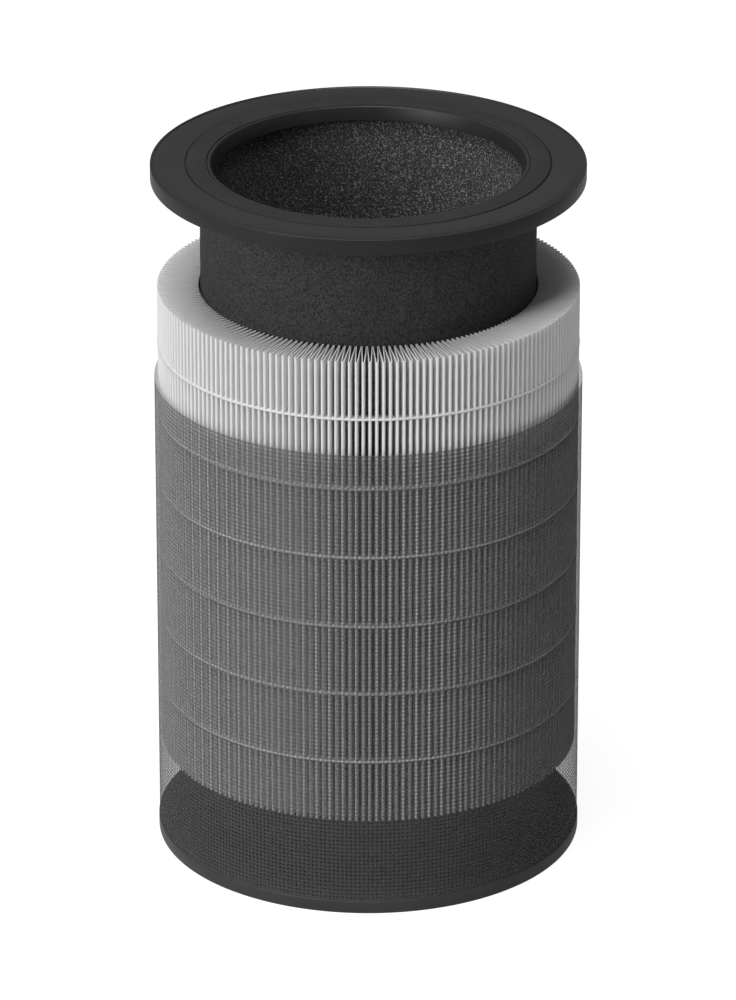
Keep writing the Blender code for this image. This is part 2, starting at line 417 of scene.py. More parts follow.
@dataclass(frozen=True)
class CarbonFelt:
    """Black felt full of ground carbon: smoother outside, coarser inside, with painted glints on fibres
    there for shiny grains.
    """

    name: str = "black_carbon_felt"
    dark: Color = (0.018, 0.018, 0.018)
    light: Color = (0.100, 0.100, 0.100)
    dark_inside: Color = (0.010, 0.010, 0.010)
    light_inside: Color = (0.080, 0.080, 0.080)
    # A light colour painted on the fibres inside: painted glints that stand in for the shine of carbon
    # grains.
    painted_glint: Color = (0.60, 0.60, 0.60)
    roughness: float = 0.95
    specular: float = 0.25
    sheen: float = 0.03
    relief: float = 0.00040
    middle_radius: float = 0.0773
    outer_grain: float = 0.0009
    inner_grain: float = 0.0005
    grain_edge: tuple[float, float] = (0.30, 0.80)
    pit_size: float = 0.0024
    pit_edge: tuple[float, float] = (0.10, 0.36)
    clump_size: float = 0.0008
    clump_edge: tuple[float, float] = (0.35, 0.65)
    fibre_thickness: float = 0.00030
    fibre_length: float = 0.0030
    fibre_edge: tuple[float, float] = (0.60, 0.85)
    fibre_and_glint_strength: float = 0.8
    patch_size: float = 0.012
    darkest_patch: float = 0.75
    grain_share: float = 0.7

    def material(self, effects: Effects) -> Material:
        """Returns the finish as a material."""
        work = MaterialBuilder(self.name, self.roughness, self.specular)
        work.surface.inputs["Sheen Weight"].default_value = self.sheen
        fine = effects.place(Effect.GRAIN, work, Size=self.outer_grain)
        coarse = effects.place(Effect.GRAIN, work, Size=self.inner_grain)
        fibres = effects.place(Effect.FIBRES, work, Thickness=self.fibre_thickness, Length=self.fibre_length)
        patches = effects.place(Effect.PATCHES, work, Size=self.patch_size)
        clumps = effects.place(Effect.PATCHES, work, Size=self.clump_size)
        parts = work.add("ShaderNodeSeparateXYZ", {"Vector": work.position}).outputs
        flat = work.combined(X=parts["X"], Y=parts["Y"])
        radius = work.add("ShaderNodeVectorMath", {0: flat}, operation="LENGTH").outputs["Value"]
        inside = work.math("LESS_THAN", radius, self.middle_radius)
        # The pits sit low in the relief and are also painted darker: painted shade in the pits, besides the
        # felt's own grain and patches.
        pits = work.spread(work.cells(work.position, 1.0 / self.pit_size), *self.pit_edge)
        pits = work.math("MAXIMUM", pits, work.spread(clumps, *self.clump_edge))
        grain = work.math("MULTIPLY", work.spread(fine, *self.grain_edge), pits)
        showing = work.spread(clumps, *self.fibre_edge, 0.0, self.fibre_and_glint_strength)
        fibres_and_glints = work.math("MULTIPLY", fibres, showing)
        outer_tone = work.math("MULTIPLY", grain, work.spread(patches, 0.0, 1.0, self.darkest_patch, 1.0))
        outer = work.mixed(outer_tone, self.dark, self.light)
        inner = work.mixed(work.spread(coarse, *self.grain_edge), self.dark_inside, self.light_inside)
        # Painted glints: the fibres that show inside are mixed towards a light colour, in place of the shine
        # of carbon grains.
        inner = work.mixed(fibres_and_glints, inner, self.painted_glint)
        work.feed("Base Color", work.mixed(inside, outer, inner))
        work.raise_surface(work.weighed(grain, self.grain_share, fibres_and_glints), self.relief)
        return work.material


@dataclass(frozen=True)
class FilterPaper(Finish):
    """White glass-fibre filter paper, matt and faintly mottled."""

    name: str = "white_filter_paper"
    dark: Color = (0.690, 0.690, 0.687)
    light: Color = (0.750, 0.750, 0.747)
    roughness: tuple[float, float] = (0.86, 0.95)
    specular: float = 0.20
    relief: float = 0.00004
    patch_size: float = 0.006
    patch_share: float = 0.5
    fibre_share: float = 0.5
    fibre_thickness: float = 0.00018
    fibre_length: float = 0.0025
    grain_size: float = 0.0009

    def material(self, effects: Effects) -> Material:
        """Returns the finish as a material."""
        work, patches = self.start(effects)
        fibres = effects.place(Effect.FIBRES, work, Thickness=self.fibre_thickness, Length=self.fibre_length)
        grain = effects.place(Effect.GRAIN, work, Size=self.grain_size)
        height = work.weighed(fibres, self.fibre_share, grain)
        return self.close(work, work.weighed(patches, self.patch_share, height), height)


@dataclass(frozen=True)
class HotMelt(Finish):
    """Milky hot-melt glue, smoother than the paper that it holds."""

    name: str = "milky_hot_melt"
    dark: Color = (0.550, 0.549, 0.542)
    light: Color = (0.610, 0.609, 0.602)
    roughness: tuple[float, float] = (0.40, 0.58)
    specular: float = 0.20
    relief: float = 0.00006
    patch_size: float = 0.004

    def material(self, effects: Effects) -> Material:
        """Returns the finish as a material."""
        work, patches = self.start(effects)
        return self.close(work, patches, patches)


@dataclass(frozen=True)
class NetThread(Finish):
    """Dark plastic thread of the net, clear enough to look and shine through, less so for stray light."""

    name: str = "dark_net_thread"
    dark: Color = (0.100, 0.100, 0.101)
    light: Color = (0.136, 0.136, 0.138)
    roughness: tuple[float, float] = (0.55, 0.70)
    specular: float = 0.15
    relief: float = 0.00003
    patch_size: float = 0.010
    patch_share: float = 0.4
    grain_size: float = 0.0012
    view_cover: float = 0.28
    shadow_cover: float = 0.16
    stray_cover: float = 1.0

    def material(self, effects: Effects) -> Material:
        """Returns the finish as a material."""
        work, patches = self.start(effects)
        grain = effects.place(Effect.GRAIN, work, Size=self.grain_size)
        rays = work.add("ShaderNodeLightPath").outputs
        cover = work.spread(rays["Is Shadow Ray"], 0.0, 1.0, self.view_cover, self.shadow_cover)
        stray = work.math("MULTIPLY", rays["Is Diffuse Ray"], self.stray_cover)
        work.feed("Alpha", work.math("MAXIMUM", cover, stray))
        return self.close(work, work.weighed(patches, self.patch_share, grain), grain)


# Meshes


def linked(name: str, mesh: Mesh) -> Object:
    """Returns a new object with this mesh, in the scene."""
    piece = bpy.data.objects.new(name, mesh)
    bpy.context.scene.collection.objects.link(piece)
    return piece


def settled(piece: Object) -> Object:
    """Turns what a piece's modifiers make into its own plain mesh.

    Args:
        piece: An object with live modifiers.

    Returns:
        The same object, without modifiers.
    """
    graph = bpy.context.evaluated_depsgraph_get()
    mesh = bpy.data.meshes.new_from_object(piece.evaluated_get(graph))
    mesh.name = piece.name
    piece.modifiers.clear()
    piece.data = mesh
    return piece


def shaded(piece: Object, angle: float = SHARP_ANGLE) -> Object:
    """Shades a piece smooth but for the edges that turn by more than an angle, and returns it."""
    mesh = piece.data
    mesh.shade_smooth()
    mesh.set_sharp_from_angle(angle=angle)
    return piece


def kept(shape: bmesh.types.BMesh, name: str) -> Mesh:
    """Turns a finished bmesh into a mesh with this name, frees it and returns the mesh."""
    mesh = bpy.data.meshes.new(name)
    shape.to_mesh(mesh)
    shape.free()
    return mesh


def swept(name: str, lines: Sequence[Sequence[Place]], closed: bool = False, flipped: bool = False) -> Mesh:
    """Makes a mesh from lines of points, with faces between each line and the next.

    Args:
        name: The mesh's name.
        lines: The lines, each with as many points.
        closed: True where a line's last point is joined to its first.
        flipped: True to turn the faces' other side out.

    Returns:
        The mesh.
    """
    width = len(lines[0])
    faces = []
    for start in range(0, width * (len(lines) - 1), width):
        for column in range(width if closed else width - 1):
            here, follow = start + column, start + (column + 1) % width
            face = (here, follow, follow + width, here + width)
            faces.append(face[::-1] if flipped else face)
    mesh = bpy.data.meshes.new(name)
    mesh.from_pydata([point for line in lines for point in line], [], faces)
    return mesh


@dataclass(frozen=True)
class Corner:
    """One corner of a turned section: its radius, its level and the fillet that rounds it."""

    radius: float
    level: float
    fillet: float = 0.0

    def place(self) -> Vector:
        """Returns the corner as a flat vector."""
        return Vector((self.radius, self.level))


@dataclass(frozen=True)
class TurnedShape:
    """A closed section that is turned round the cartridge's axis."""

    corners: Sequence[Corner]
    steps: int = TURNING_STEPS
    arc_points: int = 4
    longest: float = 1.0

    def outline(self) -> list[Vector]:
        """Returns the section's points, with its fillets drawn and its long sides divided."""
        points: list[Vector] = []
        count = len(self.corners)
        for index, corner in enumerate(self.corners):
            here = corner.place()
            back = self.corners[index - 1].place() - here
            ahead = self.corners[(index + 1) % count].place() - here
            if corner.fillet <= 0.0:
                points.append(here)
                continue
            points += self._arc(here, back, ahead, corner.fillet)
        return self._divided(points)

    def _arc(self, here: Vector, back: Vector, ahead: Vector, fillet: float) -> list[Vector]:
        """Draws the arc that rounds one corner.

        Args:
            here: The corner.
            back: The way from it to the corner before.
            ahead: The way from it to the corner after.
            fillet: The arc's radius, which is made smaller where the sides are short.

        Returns:
            The arc's points, from the side before to the side after.
        """
        half = 0.5 * back.angle(ahead)
        longest = FILLET_SHARE * min(back.length, ahead.length)
        reach = min(fillet / math.tan(half), longest)
        radius = reach * math.tan(half)
        u, v = back.normalized(), ahead.normalized()
        centre = here + (u + v).normalized() * (radius / math.sin(half))
        first, last = here + u * reach - centre, here + v * reach - centre
        turn = math.pi - 2.0 * half
        drawn = []
        for step in range(self.arc_points + 1):
            share = step / self.arc_points
            weight_first = math.sin((1.0 - share) * turn) / math.sin(turn)
            weight_last = math.sin(share * turn) / math.sin(turn)
            drawn.append(centre + first * weight_first + last * weight_last)
        return drawn

    def _divided(self, points: list[Vector]) -> list[Vector]:
        """Divides each side that is longer than the longest that is wanted, and returns all points."""
        result: list[Vector] = []
        for index, start in enumerate(points):
            end = points[(index + 1) % len(points)]
            pieces = max(1, math.ceil((end - start).length / self.longest))
            result += [start.lerp(end, step / pieces) for step in range(pieces)]
        return result

    def mesh(self, name: str) -> Mesh:
        """Turns the section into a closed mesh whose faces point outwards.

        Args:
            name: The mesh's name.

        Returns:
            The mesh. A point on the axis becomes one vertex.
        """
        outline = self.outline()
        shape = bmesh.new()
        rings = []
        for point in outline:
            if point.x < ON_AXIS:
                rings.append([shape.verts.new((0.0, 0.0, point.y))] * self.steps)
                continue
            ring = []
            for step in range(self.steps):
                angle = 2.0 * math.pi * step / self.steps
                ring.append(shape.verts.new((point.x * math.cos(angle), point.x * math.sin(angle), point.y)))
            rings.append(ring)
        for index, ring in enumerate(rings):
            after = rings[(index + 1) % len(rings)]
            for step in range(self.steps):
                follow = (step + 1) % self.steps
                corners = list(dict.fromkeys((ring[step], ring[follow], after[follow], after[step])))
                if len(corners) > 2:
                    shape.faces.new(corners)
        bmesh.ops.recalc_face_normals(shape, faces=shape.faces)
        return kept(shape, name)


def turned(name: str, corners: Sequence[Corner]) -> Object:
    """Returns a new turned and shaded piece, in the scene."""
    return shaded(linked(name, TurnedShape(corners).mesh(name)))


class GeometryTree(NodeBuilder):
    """A Geometry Nodes tree that makes a piece from a start mesh and named sizes."""

    def __init__(self, name: str, counts: Sequence[str], sizes: Sequence[str]) -> None:
        """Makes the tree's sockets, besides those for the start mesh and the material.

        Args:
            name: The tree's name.
            counts: The names of the whole numbers that go in.
            sizes: The names of the other numbers that go in.
        """
        super().__init__(bpy.data.node_groups.new(name, "GeometryNodeTree"))
        kinds = {
            "Geometry": "NodeSocketGeometry",
            **dict.fromkeys(counts, "NodeSocketInt"),
            **dict.fromkeys(sizes, "NodeSocketFloat"),
            "Material": "NodeSocketMaterial",
        }
        sockets = self.tree.interface
        self._keys = {
            label: sockets.new_socket(label, in_out="INPUT", socket_type=kind).identifier
            for label, kind in kinds.items()
        }
        sockets.new_socket("Geometry", in_out="OUTPUT", socket_type="NodeSocketGeometry")
        self.source = self.add("NodeGroupInput").outputs

    def first(
        self, kind: str, inputs: dict[str, InputValue] | None = None, **settings: object
    ) -> NodeSocket:
        """Places one node and returns its first output."""
        return self.add(kind, inputs, **settings).outputs[0]

    def even_turns(self, count: NodeSocket) -> NodeSocket:
        """Returns each point's own turn about the axis, evenly spaced in the order of the points."""
        step = self.math("DIVIDE", 2.0 * math.pi, count)
        angle = self.math("MULTIPLY", self.first("GeometryNodeInputIndex"), step)
        return self.first("FunctionNodeAxisAngleToRotation", {"Axis": (0.0, 0.0, 1.0), "Angle": angle})

    def copies(self, points: NodeSocket, original: NodeSocket, **turns: NodeSocket) -> NodeSocket:
        """Returns a copy of the original on each point, with the Rotation and Scale that are given."""
        inputs = {"Points": points, "Instance": original, **turns}
        return self.first("GeometryNodeInstanceOnPoints", inputs)

    def close(self, geometry: NodeSocket) -> None:
        """Ends the tree: makes instances real, gives the material and links the output."""
        real = self.first("GeometryNodeRealizeInstances", {"Geometry": geometry})
        inputs = {"Geometry": real, "Material": self.source["Material"]}
        self.add("NodeGroupOutput", {"Geometry": self.first("GeometryNodeSetMaterial", inputs)})

    def grown(
        self, name: str, start: Mesh, material: Material, wall: float = 0.0, **values: float | int
    ) -> Object:
        """Runs the tree and keeps the result as a plain mesh.

        Args:
            name: The new piece's name.
            start: The mesh that the tree starts from.
            material: The piece's material.
            wall: The thickness that the result gets, where it is a bare surface.
            values: A value for each of the tree's named inputs, with _ for the spaces in a name.

        Returns:
            The new piece.
        """
        piece = linked(name, start)
        modifier = piece.modifiers.new("grow", "NODES")
        modifier.node_group = self.tree
        modifier[self._keys["Material"]] = material
        for label, value in values.items():
            modifier[self._keys[label.replace("_", " ")]] = value
        if wall:
            thick = piece.modifiers.new("wall", "SOLIDIFY")
            thick.thickness = wall
            thick.offset = 0.0
            thick.use_even_offset = True
        return settled(piece)


class Growers:
    """The Geometry Nodes trees of the cartridge: what repeats round it, its net and its loose fibres."""

    def __init__(self) -> None:
        """Builds the three trees."""
        self.round_repeat = self._round_repeat()
        self.net = self._net()
        self.fibres = self._fibres()

    @staticmethod
    def _round_repeat() -> GeometryTree:
        """Repeats the start mesh round the axis, welds the copies together and lets them wander a little."""
        tree = GeometryTree("round_repeat", ("Count",), ("Weld", "Wander", "Wander Size", "Seed"))
        source = tree.source
        points = tree.first("GeometryNodePoints", {"Count": source["Count"]})
        round_axis = tree.copies(points, source["Geometry"], Rotation=tree.even_turns(source["Count"]))
        real = tree.first("GeometryNodeRealizeInstances", {"Geometry": round_axis})
        whole = tree.first("GeometryNodeMergeByDistance", {"Geometry": real, "Distance": source["Weld"]})
        cloud_inputs = {
            "Vector": tree.first("GeometryNodeInputPosition"),
            "W": source["Seed"],
            "Scale": tree.math("DIVIDE", 1.0, source["Wander Size"]),
            "Detail": 1.0,
        }
        cloud = tree.add("ShaderNodeTexNoise", cloud_inputs, noise_dimensions="4D").outputs["Color"]
        centred = tree.vector("SUBTRACT", cloud, (0.5, 0.5, 0.5))
        reach = tree.math("MULTIPLY", source["Wander"], 2.0)
        offset = tree.first("ShaderNodeVectorMath", {"Vector": centred, "Scale": reach}, operation="SCALE")
        tree.close(tree.first("GeometryNodeSetPosition", {"Geometry": whole, "Offset": offset}))
        return tree

    @staticmethod
    def _net() -> GeometryTree:
        """Makes upright threads on a circle and hoops on a line, which cross in a square grid."""
        tree = GeometryTree(
            "net_tube",
            ("Columns", "Rows", "Hoop Steps"),
            ("Radius", "Hoop Radius", "Bottom", "Height", "Margin", "Upright Width", "Hoop Width", "Depth"),
        )
        source = tree.source
        bottom, height, depth = source["Bottom"], source["Height"], source["Depth"]
        circle_inputs = {"Vertices": source["Columns"], "Radius": source["Radius"]}
        circle = tree.first("GeometryNodeMeshCircle", circle_inputs)
        lift = tree.combined(Z=tree.math("ADD", bottom, tree.math("MULTIPLY", height, 0.5)))
        places = tree.first("GeometryNodeTransform", {"Geometry": circle, "Translation": lift})
        post_size = tree.combined(X=depth, Y=source["Upright Width"], Z=height)
        post = tree.first("GeometryNodeMeshCube", {"Size": post_size})
        uprights = tree.copies(places, post, Rotation=tree.even_turns(source["Columns"]))
        span = tree.math("SUBTRACT", height, tree.math("MULTIPLY", source["Margin"], 2.0))
        pitch = tree.math("DIVIDE", span, tree.math("SUBTRACT", source["Rows"], 1.0))
        lowest = tree.combined(Z=tree.math("ADD", bottom, source["Margin"]))
        line_inputs = {"Count": source["Rows"], "Start Location": lowest, "Offset": tree.combined(Z=pitch)}
        line = tree.first("GeometryNodeMeshLine", line_inputs)
        path_inputs = {"Resolution": source["Hoop Steps"], "Radius": source["Hoop Radius"]}
        path = tree.first("GeometryNodeCurvePrimitiveCircle", path_inputs)
        thread_inputs = {"Width": depth, "Height": source["Hoop Width"]}
        thread = tree.first("GeometryNodeCurvePrimitiveQuadrilateral", thread_inputs)
        hoop = tree.first("GeometryNodeCurveToMesh", {"Curve": path, "Profile Curve": thread})
        join = tree.add("GeometryNodeJoinGeometry")
        for part in (tree.copies(line, hoop), uprights):
            tree.tree.links.new(part, join.inputs["Geometry"])
        tree.close(join.outputs["Geometry"])
        return tree

    @staticmethod
    def _fibres() -> GeometryTree:
        """Grows short fibres, tilted at random, from the faces of the start mesh."""
        tree = GeometryTree("loose_fibres", ("Seed",), ("Density", "Length", "Thickness", "Tilt"))
        source = tree.source
        scatter_inputs = {"Mesh": source["Geometry"], "Density": source["Density"], "Seed": source["Seed"]}
        scatter = tree.add("GeometryNodeDistributePointsOnFaces", scatter_inputs).outputs
        half = tree.math("MULTIPLY", source["Thickness"], 0.5)
        cone_inputs = {"Vertices": 3, "Radius Top": 0.0, "Radius Bottom": half, "Depth": source["Length"]}
        fibre = tree.first("GeometryNodeMeshCone", cone_inputs)
        high = tree.combined(X=source["Tilt"], Y=source["Tilt"], Z=math.pi)
        low = tree.vector("MULTIPLY", high, (-1.0, -1.0, -1.0))
        angle_inputs = {"Min": low, "Max": high, "Seed": source["Seed"]}
        angles = tree.first("FunctionNodeRandomValue", angle_inputs, data_type="FLOAT_VECTOR")
        lean = tree.first("FunctionNodeEulerToRotation", {"Euler": angles})
        turn_inputs = {"Rotation": scatter["Rotation"], "Rotate By": lean}
        rotation = tree.first("FunctionNodeRotateRotation", turn_inputs, rotation_space="LOCAL")
        length_inputs = {2: SHORTEST_FIBRE, 3: 1.0, "Seed": LENGTH_SEED}
        length = tree.add("FunctionNodeRandomValue", length_inputs, data_type="FLOAT").outputs[1]
        scale = tree.combined(X=1.0, Y=1.0, Z=length)
        tree.close(tree.copies(scatter["Points"], fibre, Rotation=rotation, Scale=scale))
        return tree


# The workshop that all sub-assemblies share


class Slot(Enum):
    """A material slot of the CAD record."""

    PLASTIC = "black_plastic"
    SEAL = "black_seal"
    FELT = "carbon_felt"
    PAPER = "white_paper"
    GLUE = "hot_melt_glue"
    NET = "dark_net"


@dataclass
class Workshop:
    """The finishes, the trees and the list of finished pieces."""

    effects: Effects = field(default_factory=Effects)
    growers: Growers = field(default_factory=Growers)
    materials: dict[Slot, Material] = field(default_factory=dict)
    finished: list[Object] = field(default_factory=list)

    def __post_init__(self) -> None:
        """Makes each slot's material."""
        finishes = {
            Slot.PLASTIC: MouldedPlastic(),
            Slot.SEAL: FoamSeal(),
            Slot.FELT: CarbonFelt(),
            Slot.PAPER: FilterPaper(),
            Slot.GLUE: HotMelt(),
            Slot.NET: NetThread(),
        }
        self.materials = {slot: finish.material(self.effects) for slot, finish in finishes.items()}

    def finish(self, piece: Object, slot: Slot, nodes: Iterable[str] = ()) -> None:
        """Puts a finished piece on the CAD body.

        Args:
            piece: The piece, at the origin, with its place in its mesh.
            slot: The record's slot that its material belongs to.
            nodes: The CAD nodes that it stands for.
        """
        if not piece.data.materials:
            piece.data.materials.append(self.materials[slot])
        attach(piece, BODY)
        names = list(nodes)
        if names:
            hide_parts(*names)
        self.finished.append(piece)
        count = len(piece.data.polygons)
        LOG.info("%s: %d faces, %s, for %s", piece.name, count, slot.value, names or "itself")


# Sub-assemblies


@dataclass
class BottomCap:
    """The closed cap: a step for the net, a platform with two low steps, and a hollowed underside."""

    node: str = "bottom_cap"
    thickness: float = 0.0070
    step: float = 0.0007
    platform_radius: float = 0.10094
    outer_step_radius: float = 0.0645
    inner_step_radius: float = 0.0505
    step_rise: float = 0.0006
    foot_width: float = 0.0120
    recess: float = 0.0012
    edge: float = 0.0005
    softness: float = 0.4
    # The ring's black plastic in a copy about two and a half times lighter: painted light that stands in for
    # the light that the pack and the net keep off the cap's platform.
    finish: MouldedPlastic = MouldedPlastic(
        "black_cap_plastic", dark=(0.034, 0.034, 0.0345), light=(0.046, 0.046, 0.0465)
    )

    def build(self, shop: Workshop) -> None:
        """Turns the cap and puts it in place of its CAD node."""
        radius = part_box(self.node)[1].x
        top, rise = self.thickness, self.step_rise
        inner = radius - self.foot_width
        soft = self.softness * rise
        corners = [
            Corner(0.0, top + 2.0 * rise),
            Corner(self.inner_step_radius - rise, top + 2.0 * rise, soft),
            Corner(self.inner_step_radius, top + rise, 0.5 * soft),
            Corner(self.outer_step_radius - rise, top + rise, soft),
            Corner(self.outer_step_radius, top, 0.5 * soft),
            Corner(self.platform_radius, top, 0.5 * self.step),
            Corner(self.platform_radius, top - self.step),
            Corner(radius, top - self.step, self.edge),
            Corner(radius, 0.0, self.edge),
            Corner(inner, 0.0, 0.5 * self.edge),
            Corner(inner - self.recess, self.recess, 0.5 * self.edge),
            Corner(0.0, self.recess),
        ]
        cap = turned("closed_bottom_cap", corners)
        cap.data.materials.append(self.finish.material(shop.effects))
        shop.finish(cap, Slot.PLASTIC, [self.node])


@dataclass
class EndRing:
    """The end ring with its rim, edge groove and tapered outlet, and the foam seal let into its top."""

    node: str = "top_ring"
    seal_node: str = "seal_gasket"
    plate: float = 0.0024
    edge: float = 0.0005
    groove_inset: float = 0.0013
    groove_depth: float = 0.0006
    shoulder_width: float = 0.0022
    trough_radius: float = 0.1004
    lip_radius: float = 0.075417
    lip_thickness: float = 0.0011
    lip_drop: float = 0.0043
    taper: float = 0.0018
    outlet_round: float = 0.0010
    fine_share: float = 0.3
    gap: float = 0.0003
    seal_bore: float = 0.076017
    seat_round: float = 0.0009

    def build(self, shop: Workshop) -> None:
        """Turns the ring and its seal and puts them in place of their CAD nodes."""
        low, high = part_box(self.node)
        seal_low, seal_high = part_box(self.seal_node)
        radius, top = high.x, high.z
        under = top - self.plate
        lip_bottom = under - self.lip_drop
        mouth = self.lip_radius - self.lip_thickness
        groove = radius - self.groove_inset
        seat = seal_low.z - self.gap
        seat_bore, seat_radius = self.seal_bore - self.gap, seal_high.x + self.gap
        fine = self.fine_share * self.edge
        ring_corners = [
            Corner(radius, top, self.edge),
            Corner(radius, low.z, self.edge),
            Corner(self.trough_radius, low.z, fine),
            Corner(self.trough_radius, under, self.edge),
            Corner(self.lip_radius, under, self.edge),
            Corner(self.lip_radius - self.taper, lip_bottom, fine),
            Corner(mouth - self.taper, lip_bottom, fine),
            Corner(mouth, top, self.outlet_round),
            Corner(seat_bore, top, fine),
            Corner(seat_bore, seat),
            Corner(seat_radius, seat),
            Corner(seat_radius, top, self.seat_round),
            Corner(groove - self.shoulder_width, top, self.edge),
            Corner(groove, top - self.groove_depth, fine),
            Corner(groove + self.groove_depth, top, fine),
        ]
        shop.finish(turned("moulded_end_ring", ring_corners), Slot.PLASTIC, [self.node])
        seal_corners = [
            Corner(seal_high.x, seal_high.z, 2.0 * self.gap),
            Corner(seal_high.x, seal_low.z),
            Corner(self.seal_bore, seal_low.z),
            Corner(self.seal_bore, seal_high.z, self.gap),
        ]
        shop.finish(turned("foam_seal_ring", seal_corners), Slot.SEAL, [self.seal_node])


@dataclass
class CarbonSleeve:
    """The tube of carbon felt, slightly uneven, with loose fibres standing off it."""

    node: str = "carbon_sleeve"
    wall: float = 0.0032
    nap: float = 0.0006
    edge: float = 0.0007
    face: float = 0.0016
    unevenness: float = 0.00018
    unevenness_size: float = 0.006
    fibre_density: float = 80000.0
    fibre_length: float = 0.0013
    fibre_thickness: float = 0.00011
    fibre_tilt: float = 1.15
    seed: int = 11

    def build(self, shop: Workshop) -> None:
        low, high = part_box(self.node)
        radius, bore = high.x + self.nap - self.unevenness, high.x - self.wall + self.unevenness
        corners = [
            Corner(radius, high.z, self.edge),
            Corner(radius, low.z, self.edge),
            Corner(bore, low.z, self.edge),
            Corner(bore, high.z, self.edge),
        ]
        mesh = TurnedShape(corners, longest=self.face).mesh("carbon_felt_sleeve")
        for vertex in mesh.vertices:
            outwards = Vector((vertex.co.x, vertex.co.y, 0.0)).normalized()
            vertex.co += outwards * self.unevenness * noise.noise(vertex.co / self.unevenness_size)
        sleeve = shaded(linked("carbon_felt_sleeve", mesh))
        fibres = shop.growers.fibres.grown(
            "carbon_felt_fibres", mesh.copy(), shop.materials[Slot.FELT], Density=self.fibre_density,
            Length=self.fibre_length, Thickness=self.fibre_thickness, Tilt=self.fibre_tilt, Seed=self.seed,
        )
        shop.finish(sleeve, Slot.FELT, [self.node])
        shop.finish(fibres, Slot.FELT)


